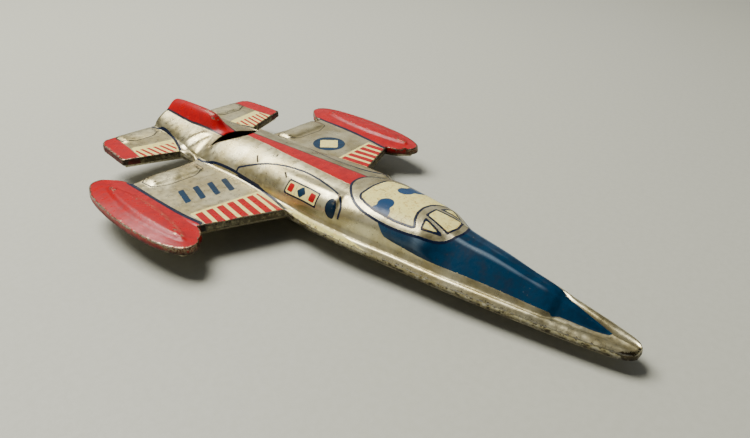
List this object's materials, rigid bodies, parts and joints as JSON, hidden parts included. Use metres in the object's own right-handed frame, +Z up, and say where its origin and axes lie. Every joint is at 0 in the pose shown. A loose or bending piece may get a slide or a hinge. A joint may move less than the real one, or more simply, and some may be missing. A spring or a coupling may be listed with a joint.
{
  "type": "toy airplane",
  "caption": "Pressed-tin toy jet with wing-tip tanks, printed upper shell crimped over a plain lower shell, standing on small free-turning wheels.",
  "frame": {"origin": "middle of the toy's length and width, on the table under its wheels", "axes": "+Z up, nose towards -Y, the pilot's left wing towards +X"},
  "size_m": [0.09, 0.1516, 0.0177],
  "materials": {
    "printed_tin": "lithographed tin, worn, satin",
    "plain_tin": "bare tinplate, aged",
    "steel_wire": "drawn wire",
    "black_rubber": "matt"
  },
  "bodies": {
    "airframe": {"upper_shell": "printed_tin", "lower_shell": "plain_tin", "main_bracket": "plain_tin", "nose_bracket": "plain_tin", "main_axle": "steel_wire", "nose_axle": "steel_wire"},
    "left_wheel": {"main_wheel_left": "black_rubber"},
    "right_wheel": {"main_wheel_right": "black_rubber"},
    "front_wheel": {"nose_wheel": "black_rubber"}
  },
  "joints": [
    {"name": "left_wheel_spin", "type": "hinge", "parent": "airframe", "child": "left_wheel", "pos_m": [0.0058, 0.0322, 0.0064], "axis": [1, 0, 0], "continuous": true},
    {"name": "right_wheel_spin", "type": "hinge", "parent": "airframe", "child": "right_wheel", "pos_m": [-0.0058, 0.0322, 0.0064], "axis": [1, 0, 0], "continuous": true},
    {"name": "front_wheel_spin", "type": "hinge", "parent": "airframe", "child": "front_wheel", "pos_m": [0, -0.03881, 0.0056], "axis": [1, 0, 0], "continuous": true}
  ]
}
